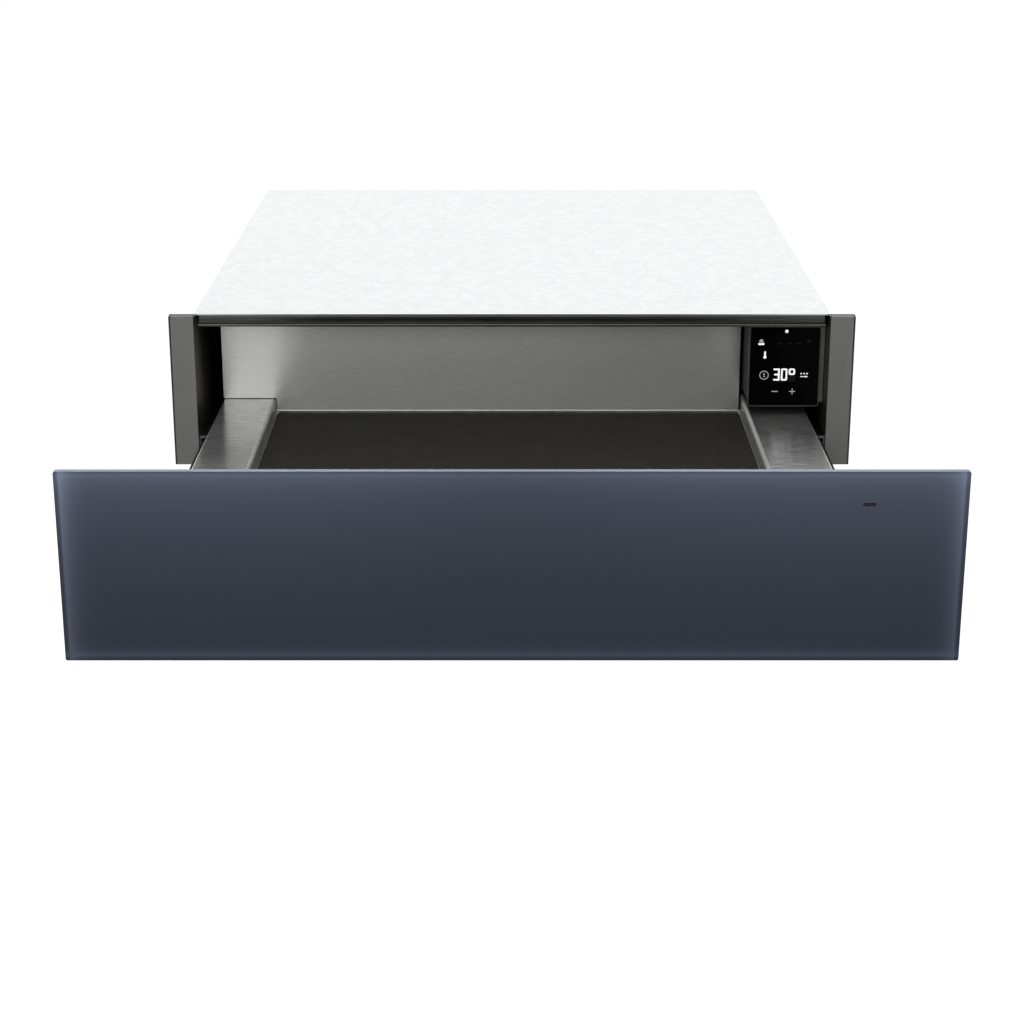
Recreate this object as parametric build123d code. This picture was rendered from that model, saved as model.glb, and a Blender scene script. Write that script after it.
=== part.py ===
from build123d import *
import os

# A built-in 60 cm warming drawer, standing open on telescopic ball slides.
# X runs along the front, Y into the niche and Z up. Pieces are drawn with y = 0 in the front
# plane of the casing and the drawer closed. The drawer is then pulled open, and the origin goes
# to the middle of the casing's underside. Lengths are in millimetres.

# Driving sizes
FRONT_WIDTH = 597.0
FRONT_HEIGHT = 134.5
FRONT_LIFT = 0.3
FRONT_OVERLAP = 8.5
CASING_WIDTH = FRONT_WIDTH - 2 * FRONT_OVERLAP
CASING_HEIGHT = 132.0
CASING_DEPTH = 515.0
UPRIGHT_REACH = 20.0
BODY_WIDTH = CASING_WIDTH - 2 * UPRIGHT_REACH
OPEN_SHARE = 0.885

# Sheet metal, seats and cuts
CASING_SHEET = 1.0
DRAWER_SHEET = 1.0
BEND_SHARE = 1.4
SEAT = 0.1
OVERRUN = 5.0

# Casing panels
BASE_LIP = 3.5
SIDE_FLANGE = 13.0
REAR_FOLD = 10.0
UPRIGHT_DEPTH = 10.0
NOTCH_GAP = 2.0
PARTITION_SETBACK = 63.0
PARTITION_FLANGE = 13.0
FIXING_HOLE_RADIUS = 2.6
FIXING_SETBACK = 170.0
FIXING_PITCH = 40.0
FIXING_HEIGHT = 85.0
VENT_LENGTH = 26.0
VENT_WIDTH = 4.0
VENT_PITCH = 36.0
VENT_ROW_PITCH = 12.0
VENT_COLUMNS = 8
VENT_ROWS = 2
VENT_DROP = 40.0

# Front beam, one rolled profile
BEAM_SHEET = 0.8
BEAM_SETBACK = 9.0
BEAM_RETURN = 12.0
BEAM_FACE = 4.4
BEAM_GROOVE_DEPTH = 4.0
BEAM_GROOVE_HEIGHT = 3.4
BEAM_LIP_SETBACK = 0.5
BEAM_LIP_HEIGHT = 2.6
BEAM_FOOT = 14.0
BEAM_END_GAP = 2.7
BEAM_END_SLANT = 1.6

# Telescopic slides, measured from the casing wall towards the drawer
SLIDE_GAP = 13.0
SLIDE_SETBACK = 4.0
SLIDE_END_GAP = 18.0
SLIDE_LENGTH = CASING_DEPTH - PARTITION_SETBACK - SLIDE_SETBACK - SLIDE_END_GAP
SLIDE_OVERLAP = 30.0
FULL_OPENING = SLIDE_LENGTH - SLIDE_OVERLAP
DRAWER_OPENING = OPEN_SHARE * FULL_OPENING
SLIDE_LIFT = 2.6
RAIL_HEIGHT = 22.0
RAIL_SHEET = 1.2
RAIL_FLANGE = 2.0
MIDDLE_FLANGE = 2.6
BALL_RADIUS = 1.5
RACE_CLEARANCE = 0.25
RACE_DEPTH = 0.8
CAGE_SHEET = 0.6
CAGE_STRIP = 0.8
CAGE_BALLS = 4
CAGE_END = 12.0
BALL_POCKET_GAP = 0.05
OUTER_FLANGE_SHARE = 0.75
MIDDLE_WEB_SHARE = 0.215
MIDDLE_FLANGE_SHARE = 0.815
INNER_FLANGE_SHARE = 0.44
OUTER_CAGE_SHARE = 0.135
OUTER_CAGE_REACH_SHARE = 0.67
INNER_CAGE_SHARE = 0.355
INNER_CAGE_REACH_SHARE = 0.84
OUTER_BALL_SHARE = 0.477
INNER_BALL_SHARE = 0.646
MIDDLE_TRAVEL_SHARE = 0.5
OUTER_CAGE_TRAVEL_SHARE = 0.25
INNER_CAGE_TRAVEL_SHARE = 0.75

# Drawer basin
LEDGE_HEIGHT = 38.4
LEDGE_BEND_SHARE = 3.2
LEFT_LEDGE = 46.3
RIGHT_LEDGE = 52.6
PROFILE_LIFT = 5.0
PROFILE_FOOT = 12.0
PROFILE_LENGTH = SLIDE_SETBACK + SLIDE_LENGTH
FLOOR_HEIGHT = 23.9
FLOOR_LIP = 4.1
FLOOR_LIP_ROUND = 0.45
BASIN_SETBACK = 14.0
BASIN_LENGTH = PROFILE_LENGTH - BASIN_SETBACK
WALL_DROP = 17.0
WALL_TOP = CASING_HEIGHT - WALL_DROP
WALL_FOLD = 10.0
WALL_SHADOW_GAP = 0.6
MAT_THICKNESS = 2.0
MAT_MARGIN = 1.6
MAT_CORNER = 3.0

# Front panel
FRONT_GAP = 2.0
GLASS_THICKNESS = 5.0
GLASS_CORNER = 1.5
GLASS_BEVEL = 0.7
BOND_THICKNESS = 1.0
BOND_WIDTH = 14.0
BOND_INSET = 6.0
CARRIER_DEPTH = 14.0
CARRIER_SIDE_INSET = 16.0
CARRIER_END_INSET = 11.0
LINER_FLANGE = 8.0
BRACKET_SHEET = 1.5
BRACKET_LEG = 40.0
BRACKET_FOOT = 30.0
BRACKET_HEIGHT = 28.0
SCREW_RADIUS = 2.0
SCREW_GAP = 0.15
SCREW_HEAD_RADIUS = 3.8
SCREW_HEAD = 2.0
SCREW_LENGTH = 8.0
FRONT_SCREW_INSET = 8.0
WINDOW_WIDTH = 8.6
WINDOW_HEIGHT = 2.3
WINDOW_DROP = 23.0

# Control unit
CONTROL_WIDTH = 59.2
CONTROL_DEPTH = 50.0
CONTROL_CLEARANCE = 10.0
CONTROL_DROP = 13.6
CONTROL_HEIGHT = CASING_HEIGHT - CONTROL_DROP - LEDGE_HEIGHT - CONTROL_CLEARANCE
CONTROL_SIDE_GAP = 5.9
CONTROL_SETBACK = 16.0
CONTROL_CORNER = 1.2
TOUCH_GLASS = 3.0
BEZEL = 0.9
BEZEL_PROUD = 0.3
BEZEL_DEPTH = 7.0
WALL_CLEARANCE = 1.7
HOUSING_WALL = 2.0
BOARD_THICKNESS = 1.6
BOARD_MARGIN = 2.0
BOARD_SETBACK = 12.0
BOSS_RADIUS = 3.0
BOSS_INSET = 7.0
DISPLAY_WIDTH = 40.0
DISPLAY_HEIGHT = 24.0
BRACKET_MARGIN = 1.0

# Heater under the drawer
INSULATION_THICKNESS = 6.0
INSULATION_MARGIN = 40.0
INSULATION_START = 30.0
INSULATION_SETBACK = 22.0
HEATER_TUBE_RADIUS = 3.25
HEATER_HEIGHT = 12.5
HEATER_RUNS = 6
HEATER_PITCH = 60.0
HEATER_FRONT = 70.0
HEATER_SETBACK = 72.0
HEATER_BACK = CASING_DEPTH - PARTITION_SETBACK - HEATER_SETBACK
HEATER_TAIL = 16.0
HEATER_BEND_SHARE = 0.48
CRADLE_WIDTH = 10.0
CRADLE_MARGIN = 14.0
CRADLE_SHARES = (0.2, 0.5, 0.8)
CUTOUT_RADIUS = 8.0
CUTOUT_BODY = 6.0
CUTOUT_PLATE = 1.0
CUTOUT_PLATE_LENGTH = 26.0
CUTOUT_PLATE_WIDTH = 14.0
CUTOUT_PLACE_SHARE = 0.65

# Rear compartment
BOARD_LENGTH = 130.0
BOARD_WIDTH = 44.0
BOARD_LIFT = 7.0
POWER_BOARD_X = -65.0
STANDOFF_RADIUS = 2.5
STANDOFF_INSET = 5.0
TRANSFORMER = 28.0
TRANSFORMER_HEIGHT = 24.0
RELAY_LENGTH = 20.0
RELAY_WIDTH = 12.0
RELAY_HEIGHT = 16.0
CAPACITOR_RADIUS = 5.0
CAPACITOR_HEIGHT = 18.0
COMPONENT_GAP = 6.0
TERMINAL_X = 85.0
TERMINAL_LENGTH = 48.0
TERMINAL_WIDTH = 24.0
TERMINAL_HEIGHT = 22.0
TERMINAL_WAYS = 3
TERMINAL_HOLE = 3.0
GLAND_INSET = 90.0
GLAND_HEIGHT = 40.0
GLAND_BORE = 4.0
GLAND_RADIUS = 8.0
GLAND_FLANGE_RADIUS = 11.0
GLAND_FLANGE = 3.0
GLAND_TAIL = 12.0
PROBE_X = 60.0
PROBE_HEIGHT = 70.0
PROBE_RADIUS = 2.5
PROBE_LENGTH = 20.0
PROBE_FLANGE_RADIUS = 9.0
PROBE_FLANGE = 1.5
CASING_SCREW_PLACE_SHARES = (-0.92, -0.4, 0.4, 0.92)

# Push-open latches
LATCH_X = 130.0
LATCH_HEIGHT = 75.0
LATCH_BODY_WIDTH = 24.0
LATCH_BODY_HEIGHT = 18.0
LATCH_BODY_LENGTH = 18.0
LATCH_BODY_CORNER = 3.0
LATCH_END_WALL = 1.5
PLUNGER_RADIUS = 3.8
PLUNGER_GAP = 0.35
PLUNGER_TRAVEL = 4.0
PLUNGER_STOP_GAP = 0.5
STRIKER_RADIUS = 10.0
STRIKER_THICKNESS = 2.0

# Places that the sizes above give
body_half = BODY_WIDTH / 2
wall_inside = body_half - CASING_SHEET
casing_half = CASING_WIDTH / 2
casing_bend = CASING_SHEET * BEND_SHARE
drawer_bend = DRAWER_SHEET * BEND_SHARE
panel_front = CASING_SHEET + SEAT
rear_inside = CASING_DEPTH - 2 * CASING_SHEET
partition_front = CASING_DEPTH - PARTITION_SETBACK
flange_inside = body_half - SIDE_FLANGE
drawer_half = wall_inside - SLIDE_GAP
basin_left = LEFT_LEDGE - drawer_half
basin_right = drawer_half - RIGHT_LEDGE
step_gap = drawer_bend - DRAWER_SHEET + SEAT
floor_underside = FLOOR_HEIGHT - DRAWER_SHEET
wall_front = BASIN_LENGTH - FRONT_GAP
carrier_back = -FRONT_GAP - DRAWER_SHEET
carrier_front = carrier_back + DRAWER_SHEET - CARRIER_DEPTH
glass_back = carrier_front - BOND_THICKNESS
glass_front = glass_back - GLASS_THICKNESS
front_middle = FRONT_LIFT + FRONT_HEIGHT / 2
carrier_width = FRONT_WIDTH - 2 * CARRIER_SIDE_INSET
carrier_height = FRONT_HEIGHT - 2 * CARRIER_END_INSET
slide_middle = SLIDE_LIFT + RAIL_HEIGHT / 2
control_right = wall_inside - CONTROL_SIDE_GAP
control_middle_x = control_right - CONTROL_WIDTH / 2
control_bottom = LEDGE_HEIGHT + CONTROL_CLEARANCE
control_middle_z = control_bottom + CONTROL_HEIGHT / 2
wall_right = control_right - CONTROL_WIDTH - BEZEL - WALL_CLEARANCE
window_height = FRONT_LIFT + FRONT_HEIGHT - WINDOW_DROP
insulation_top = CASING_SHEET + INSULATION_THICKNESS
striker_back = wall_front + DRAWER_SHEET + STRIKER_THICKNESS
plunger_tip = striker_back + PLUNGER_STOP_GAP
latch_front = partition_front - LATCH_BODY_LENGTH
gland_x = body_half - GLAND_INSET


def block(x0, x1, y0, y1, z0, z1):
    """A straight block between two corners."""
    middle = Pos((x0 + x1) / 2, (y0 + y1) / 2, (z0 + z1) / 2)
    return middle * Box(x1 - x0, y1 - y0, z1 - z0)


def along_x(profile, x0, x1):
    """A profile drawn in (y, z), drawn out from x0 to x1."""
    return Pos(x0, 0, 0) * extrude(Plane.YZ * profile, amount=x1 - x0)


def along_y(profile, y0, y1):
    """A profile drawn in (x, z), drawn out from y0 to y1."""
    return Pos(0, y0, 0) * extrude(Plane.XZ * profile, amount=y0 - y1)


def along_z(profile, z0, z1):
    """A profile drawn in (x, y), drawn out from z0 to z1."""
    return Pos(0, 0, z0) * extrude(profile, amount=z1 - z0)


def folded(points, sheet, side, wide_bends=None):
    """The section of a folded sheet: one face follows the points, the other lies to the given side.

    The side is 1 for the left of the line and -1 for its right. A bend that is wider than the
    others is given by the number of its corner and its share of the sheet.
    """
    wide_bends = wide_bends or {}
    line = [Vector(*point) for point in points]
    ways = [(end - start).normalized() for start, end in zip(line, line[1:])]
    normals = [Vector(-way.Y, way.X) * side for way in ways]
    far_line = [line[0] + normals[0] * sheet]
    near_radii = []
    far_radii = []
    for corner, before, after in zip(line[1:-1], range(len(ways)), range(1, len(ways))):
        mitre = normals[before] + normals[after]
        far_line.append(corner + mitre * (sheet / (1 + normals[before].dot(normals[after]))))
        outside = sheet * wide_bends.get(before, BEND_SHARE)
        inside = outside - sheet
        turns_in = ways[before].cross(ways[after]).Z * side > 0
        near_radii.append(outside if turns_in else inside)
        far_radii.append(inside if turns_in else outside)
    far_line.append(line[-1] + normals[-1] * sheet)
    edges = FilletPolyline(*line, radius=near_radii).edges()
    edges += FilletPolyline(*far_line, radius=far_radii).edges()
    edges += [Line(line[0], far_line[0]), Line(line[-1], far_line[-1])]
    return make_face(edges)


def rectangle(x0, x1, y0, y1):
    """A rectangle between two corners of a profile plane."""
    return Pos((x0 + x1) / 2, (y0 + y1) / 2) * Rectangle(x1 - x0, y1 - y0)


def pattern(places, shape):
    """One profile made of a copy of the shape at each place."""
    return Sketch() + [place * shape for place in places]


def mirrored(shape):
    """The same piece for the other side of the drawer."""
    return mirror(shape, about=Plane.YZ)


def rod(x, z, radius, y0, y1):
    """A round bar along Y."""
    return along_y(Pos(x, z) * Circle(radius), y0, y1)


def base_pan():
    profile = folded(
        [(panel_front, BASE_LIP), (panel_front, 0), (CASING_DEPTH, 0), (CASING_DEPTH, REAR_FOLD)],
        CASING_SHEET, 1)
    pan = along_x(profile, -body_half, body_half)
    lip_end = flange_inside - SEAT
    lip_depth = panel_front + casing_bend + OVERRUN
    for side in (-1, 1):
        x0, x1 = sorted((side * lip_end, side * (body_half + OVERRUN)))
        pan -= block(x0, x1, 0, lip_depth, CASING_SHEET, BASE_LIP + OVERRUN)
    return pan


def left_side_panel():
    top = CASING_HEIGHT - CASING_SHEET
    profile = folded(
        [(-flange_inside, CASING_SHEET), (-body_half, CASING_SHEET),
         (-body_half, top), (-flange_inside, top)],
        CASING_SHEET, -1)
    panel = along_y(profile, panel_front, rear_inside - SEAT)
    notch_end = BEAM_SETBACK + BEAM_RETURN + NOTCH_GAP
    panel -= block(-wall_inside, OVERRUN - flange_inside, 0, notch_end,
                   top - CASING_SHEET - OVERRUN, CASING_HEIGHT)
    hole = Rot(0, 90, 0) * Cylinder(FIXING_HOLE_RADIUS, SIDE_FLANGE)
    for place in (FIXING_SETBACK, FIXING_SETBACK + FIXING_PITCH):
        panel -= Pos(-body_half, place, FIXING_HEIGHT) * hole
    return panel


def left_upright():
    section = folded(
        [(-body_half - SEAT, UPRIGHT_DEPTH), (-casing_half, UPRIGHT_DEPTH),
         (-casing_half, 0), (-wall_inside, 0)],
        CASING_SHEET, 1)
    upright = along_z(section, 0, CASING_HEIGHT)
    for z0 in (0, CASING_HEIGHT - CASING_SHEET):
        upright += block(CASING_SHEET - casing_half, -body_half - SEAT, CASING_SHEET,
                         UPRIGHT_DEPTH - CASING_SHEET, z0, z0 + CASING_SHEET)
    return upright


def top_panel():
    profile = folded(
        [(BEAM_SETBACK, CASING_HEIGHT), (CASING_DEPTH, CASING_HEIGHT),
         (CASING_DEPTH, CASING_HEIGHT - REAR_FOLD)],
        CASING_SHEET, -1)
    return along_x(profile, -body_half, body_half)


def casing_screw_places():
    """Where the rear folds of the base and the top are screwed to the rear panel."""
    heights = (REAR_FOLD / 2, CASING_HEIGHT - REAR_FOLD / 2)
    return [(share * body_half, z) for share in CASING_SCREW_PLACE_SHARES for z in heights]


def screw_holes(shape, places, y0, y1):
    """The piece with a clearance hole along Y at each screw."""
    for x, z in places:
        shape -= rod(x, z, SCREW_RADIUS + SCREW_GAP, y0 - OVERRUN, y1 + OVERRUN)
    return shape


def rear_panel():
    edge = casing_bend + SEAT
    panel = block(-body_half, body_half, rear_inside, rear_inside + CASING_SHEET,
                  edge, CASING_HEIGHT - edge)
    vents = GridLocations(VENT_PITCH, VENT_ROW_PITCH, VENT_COLUMNS, VENT_ROWS)
    slots = pattern(vents, SlotOverall(VENT_LENGTH, VENT_WIDTH))
    slots = Pos(POWER_BOARD_X, CASING_HEIGHT - VENT_DROP) * slots
    panel -= along_y(slots, rear_inside - OVERRUN, CASING_DEPTH + OVERRUN)
    panel -= rod(gland_x, GLAND_HEIGHT, GLAND_RADIUS + SEAT,
                 rear_inside - OVERRUN, CASING_DEPTH + OVERRUN)
    return screw_holes(panel, casing_screw_places(), rear_inside, CASING_DEPTH)


def heater_places():
    """The X of each straight run of the heating element, from left to right."""
    first = -HEATER_PITCH * (HEATER_RUNS - 1) / 2
    return [first + HEATER_PITCH * run for run in range(HEATER_RUNS)]


def rear_partition():
    back = partition_front + PARTITION_FLANGE
    profile = folded(
        [(back, CASING_SHEET), (partition_front, CASING_SHEET),
         (partition_front, CASING_HEIGHT - CASING_SHEET), (back, CASING_HEIGHT - CASING_SHEET)],
        CASING_SHEET, -1)
    sheet = along_x(profile, SEAT - flange_inside, flange_inside - SEAT)
    wing_end = 2 * CASING_SHEET + casing_bend
    sheet += block(SEAT - wall_inside, wall_inside - SEAT, partition_front, partition_front + CASING_SHEET,
                   wing_end, CASING_HEIGHT - wing_end)
    for x in (heater_places()[0], heater_places()[-1]):
        sheet -= rod(x, HEATER_HEIGHT, HEATER_TUBE_RADIUS + SEAT, partition_front - OVERRUN, back)
    return sheet


def front_beam():
    beam_top = CASING_HEIGHT - CASING_SHEET
    face_bottom = beam_top - BEAM_FACE
    lip_top = face_bottom - BEAM_GROOVE_HEIGHT
    lip_bottom = lip_top - BEAM_LIP_HEIGHT
    profile = folded(
        [(BEAM_RETURN, beam_top), (0, beam_top), (0, face_bottom),
         (BEAM_GROOVE_DEPTH, face_bottom), (BEAM_GROOVE_DEPTH, lip_top), (BEAM_LIP_SETBACK, lip_top),
         (BEAM_LIP_SETBACK, lip_bottom), (BEAM_FOOT, lip_bottom)],
        BEAM_SHEET, 1)
    half = wall_inside - BEAM_END_GAP
    beam = along_x(profile, -half, half)
    slant = make_face(Polyline(
        (half - BEAM_END_SLANT, beam_top + OVERRUN), (half - BEAM_END_SLANT, beam_top),
        (half, lip_top), (half + OVERRUN, lip_top), (half + OVERRUN, beam_top + OVERRUN), close=True))
    end_cut = along_y(slant, -OVERRUN, BEAM_RETURN + OVERRUN)
    return Pos(0, BEAM_SETBACK, 0) * (beam - end_cut - mirrored(end_cut))


def slide_levels():
    """Half heights in a slide's section: each member's outside and inside, and the ball rows."""
    race = BALL_RADIUS + RACE_CLEARANCE
    levels = {"outer": RAIL_HEIGHT / 2, "outer_inside": RAIL_HEIGHT / 2 - RAIL_FLANGE}
    levels["outer_balls"] = levels["outer_inside"] + RACE_DEPTH - race
    levels["middle"] = levels["outer_balls"] - race + RACE_DEPTH
    levels["middle_inside"] = levels["middle"] - MIDDLE_FLANGE
    levels["inner_balls"] = levels["middle_inside"] + RACE_DEPTH - race
    levels["inner"] = levels["inner_balls"] - race + RACE_DEPTH
    levels["inner_inside"] = levels["inner"] - RAIL_FLANGE
    return levels


def channel(web0, web1, reach0, reach1, outside, inside):
    """A channel section beside the left wall: a web, and a flange above and below it."""
    wall = -wall_inside
    section = rectangle(wall + web0, wall + web1, slide_middle - outside, slide_middle + outside)
    for side in (-1, 1):
        z0, z1 = sorted((slide_middle + side * inside, slide_middle + side * outside))
        section += rectangle(wall + reach0, wall + reach1, z0, z1)
    return section


def with_races(section, share, level):
    """The section with a ball race in its flanges, above and below."""
    for side in (-1, 1):
        place = Pos(share * SLIDE_GAP - wall_inside, slide_middle + side * level)
        section -= place * Circle(BALL_RADIUS + RACE_CLEARANCE)
    return section


def left_slide_outer():
    at = slide_levels()
    reach = OUTER_FLANGE_SHARE * SLIDE_GAP
    section = channel(0, RAIL_SHEET, 0, reach, at["outer"], at["outer_inside"])
    section = with_races(section, OUTER_BALL_SHARE, at["outer_balls"])
    return along_y(section, SLIDE_SETBACK, SLIDE_SETBACK + SLIDE_LENGTH)


def left_slide_middle():
    at = slide_levels()
    web = MIDDLE_WEB_SHARE * SLIDE_GAP
    reach = MIDDLE_FLANGE_SHARE * SLIDE_GAP
    section = channel(web, web + RAIL_SHEET, web, reach, at["middle"], at["middle_inside"])
    section = with_races(section, OUTER_BALL_SHARE, at["outer_balls"])
    section = with_races(section, INNER_BALL_SHARE, at["inner_balls"])
    return along_y(section, SLIDE_SETBACK, SLIDE_SETBACK + SLIDE_LENGTH)


def left_slide_runner():
    at = slide_levels()
    reach = INNER_FLANGE_SHARE * SLIDE_GAP
    section = channel(SLIDE_GAP - RAIL_SHEET, SLIDE_GAP, reach, SLIDE_GAP, at["inner"], at["inner_inside"])
    section = with_races(section, INNER_BALL_SHARE, at["inner_balls"])
    return along_y(section, SLIDE_SETBACK, SLIDE_SETBACK + SLIDE_LENGTH)


def left_ball_cage(web_share, reach_share, ball_share, level, travel_share):
    """A strip that keeps two rows of balls apart. It ends clear of both members' ends."""
    web = web_share * SLIDE_GAP
    outside = level + CAGE_STRIP / 2
    section = channel(web, web + CAGE_SHEET, web, reach_share * SLIDE_GAP, outside, outside - CAGE_STRIP)
    start = SLIDE_SETBACK + OUTER_CAGE_TRAVEL_SHARE * FULL_OPENING
    length = SLIDE_LENGTH - MIDDLE_TRAVEL_SHARE * FULL_OPENING
    cage = along_y(section, start, start + length)
    ball_x = ball_share * SLIDE_GAP - wall_inside
    pitch = (length - 2 * CAGE_END) / (CAGE_BALLS - 1)
    balls = []
    for side in (-1, 1):
        for count in range(CAGE_BALLS):
            place = Pos(ball_x, start + CAGE_END + count * pitch, slide_middle + side * level)
            cage -= place * Cylinder(BALL_RADIUS + BALL_POCKET_GAP, 2 * BALL_RADIUS)
            balls.append(place * Sphere(BALL_RADIUS))
    cage = Compound(children=[cage] + balls)
    return Pos(0, -travel_share * DRAWER_OPENING, 0) * cage


def left_outer_ball_cage():
    return left_ball_cage(OUTER_CAGE_SHARE, OUTER_CAGE_REACH_SHARE, OUTER_BALL_SHARE,
                          slide_levels()["outer_balls"], OUTER_CAGE_TRAVEL_SHARE)


def left_inner_ball_cage():
    return left_ball_cage(INNER_CAGE_SHARE, INNER_CAGE_REACH_SHARE, INNER_BALL_SHARE,
                          slide_levels()["inner_balls"], INNER_CAGE_TRAVEL_SHARE)


def side_profile(ledge):
    """The left side of the drawer: down flange, ledge, step and foot, folded from one sheet."""
    inner = ledge - drawer_half
    section = folded(
        [(-drawer_half, PROFILE_LIFT), (-drawer_half, LEDGE_HEIGHT), (inner, LEDGE_HEIGHT),
         (inner, floor_underside), (inner + PROFILE_FOOT, floor_underside)],
        DRAWER_SHEET, -1, {1: LEDGE_BEND_SHARE})
    return along_y(section, -FRONT_GAP, PROFILE_LENGTH - FRONT_GAP)


def drawer_base():
    lip_top = FLOOR_HEIGHT + FLOOR_LIP
    profile = folded(
        [(-FRONT_GAP, lip_top), (-FRONT_GAP, floor_underside),
         (wall_front, floor_underside), (wall_front, lip_top)],
        DRAWER_SHEET, 1)
    base = along_x(profile, basin_left + step_gap, basin_right - step_gap)
    lip_rims = base.edges().filter_by(Axis.X).group_by(Axis.Z)[-1]
    return fillet(lip_rims, FLOOR_LIP_ROUND)


def back_wall():
    over_ledge = LEDGE_HEIGHT + WALL_SHADOW_GAP
    outline = make_face(Polyline(
        (-drawer_half, over_ledge), (basin_left + step_gap, over_ledge),
        (basin_left + step_gap, floor_underside + SEAT),
        (wall_right, floor_underside + SEAT), (wall_right, WALL_TOP), (-drawer_half, WALL_TOP), close=True))
    back = wall_front + DRAWER_SHEET
    wall = along_y(outline, wall_front, back)
    folds = rectangle(-drawer_half, wall_right, over_ledge, WALL_TOP)
    folds -= rectangle(DRAWER_SHEET - drawer_half, wall_right - DRAWER_SHEET,
                       over_ledge, WALL_TOP - DRAWER_SHEET)
    wall += along_y(folds, back, back + WALL_FOLD)
    rims = wall.edges().filter_by(GeomType.LINE).group_by(Axis.Y)[0]
    top_rim = rims.group_by(Axis.Z)[-1]
    return fillet(top_rim, drawer_bend)


def anti_slip_mat():
    x0 = basin_left + MAT_MARGIN
    x1 = basin_right - MAT_MARGIN
    y0 = DRAWER_SHEET + MAT_MARGIN - FRONT_GAP
    y1 = wall_front - DRAWER_SHEET - MAT_MARGIN
    shape = Pos((x0 + x1) / 2, (y0 + y1) / 2) * RectangleRounded(x1 - x0, y1 - y0, MAT_CORNER)
    return along_z(shape, FLOOR_HEIGHT, FLOOR_HEIGHT + MAT_THICKNESS)


def window_slot(gap, y0, y1):
    """The status window's bar, or with a gap the slot that it passes through."""
    shape = SlotOverall(WINDOW_WIDTH + 2 * gap, WINDOW_HEIGHT + 2 * gap)
    return along_y(Pos(control_middle_x, window_height) * shape, y0, y1)


def front_glass():
    shape = Pos(0, front_middle) * RectangleRounded(FRONT_WIDTH, FRONT_HEIGHT, GLASS_CORNER)
    glass = along_y(shape, glass_front, glass_back)
    for face in (glass.faces().sort_by(Axis.Y)[0], glass.faces().sort_by(Axis.Y)[-1]):
        glass = chamfer(face.edges(), GLASS_BEVEL)
    return glass - window_slot(SEAT, glass_front - OVERRUN, glass_back + OVERRUN)


def bonding_frame():
    width = carrier_width - 2 * BOND_INSET
    height = carrier_height - 2 * BOND_INSET
    shape = Rectangle(width, height) - Rectangle(width - 2 * BOND_WIDTH, height - 2 * BOND_WIDTH)
    frame = along_y(Pos(0, front_middle) * shape, glass_back, carrier_front)
    return frame - window_slot(SEAT, glass_back - OVERRUN, carrier_front + OVERRUN)


def front_screw_places():
    """Where the left bracket is screwed to the front's liner."""
    x = BRACKET_FOOT - FRONT_SCREW_INSET - drawer_half
    z0 = PROFILE_LIFT + FRONT_SCREW_INSET + CARRIER_END_INSET / 2
    return [(x, z0), (x, PROFILE_LIFT + BRACKET_HEIGHT - FRONT_SCREW_INSET / 2)]


def all_front_screw_places():
    return front_screw_places() + [(-x, z) for x, z in front_screw_places()]


def front_carrier():
    outline = Pos(0, front_middle) * Rectangle(carrier_width, carrier_height)
    pan = along_y(outline, carrier_front, carrier_back)
    inside = Rectangle(carrier_width - 2 * DRAWER_SHEET, carrier_height - 2 * DRAWER_SHEET)
    pan -= along_y(Pos(0, front_middle) * inside, carrier_front + DRAWER_SHEET, carrier_back + OVERRUN)
    return pan - window_slot(SEAT, carrier_front - OVERRUN, carrier_back + OVERRUN)


def front_liner():
    outline = Pos(0, front_middle) * Rectangle(carrier_width, carrier_height)
    liner = along_y(outline, carrier_back, -FRONT_GAP)
    wall = DRAWER_SHEET + SEAT
    rim = Rectangle(carrier_width - 2 * wall, carrier_height - 2 * wall)
    wall += DRAWER_SHEET
    rim -= Rectangle(carrier_width - 2 * wall, carrier_height - 2 * wall)
    liner += along_y(Pos(0, front_middle) * rim, carrier_back - LINER_FLANGE, carrier_back)
    liner -= window_slot(SEAT, carrier_back - OVERRUN, OVERRUN)
    return screw_holes(liner, all_front_screw_places(), carrier_back, 0)


def light_guide():
    return window_slot(0, glass_front, -FRONT_GAP)


def left_front_bracket():
    inner = DRAWER_SHEET - drawer_half
    section = folded(
        [(inner + BRACKET_FOOT, -FRONT_GAP), (inner, -FRONT_GAP), (inner, BRACKET_LEG)],
        BRACKET_SHEET, -1)
    bracket = along_z(section, PROFILE_LIFT, PROFILE_LIFT + BRACKET_HEIGHT)
    return screw_holes(bracket, front_screw_places(), -FRONT_GAP, 0)


def screws(places, seat, direction):
    """Pan-head screws along Y whose heads lie on the seat, pointing the given way."""
    group = []
    for x, z in places:
        head = sorted((seat, seat - direction * SCREW_HEAD))
        shank = sorted((seat, seat + direction * SCREW_LENGTH))
        group.append(rod(x, z, SCREW_HEAD_RADIUS, *head) + rod(x, z, SCREW_RADIUS, *shank))
    return Compound(children=group)


def front_screws():
    return screws(all_front_screw_places(), BRACKET_SHEET - FRONT_GAP, -1)


def casing_screws():
    return screws(casing_screw_places(), CASING_DEPTH, -1)


def control_outline(margin):
    """The control unit's outline in (x, z), grown or, with a corner as wide, drawn in by a margin."""
    width = CONTROL_WIDTH + 2 * margin
    height = CONTROL_HEIGHT + 2 * margin
    shape = RectangleRounded(width, height, CONTROL_CORNER + max(margin, 0))
    return Pos(control_middle_x, control_middle_z) * shape


def touch_glass():
    return along_y(control_outline(0), CONTROL_SETBACK, CONTROL_SETBACK + TOUCH_GLASS)


def control_bezel():
    front = CONTROL_SETBACK - BEZEL_PROUD
    return along_y(control_outline(BEZEL) - control_outline(SEAT), front, front + BEZEL_DEPTH)


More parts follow.
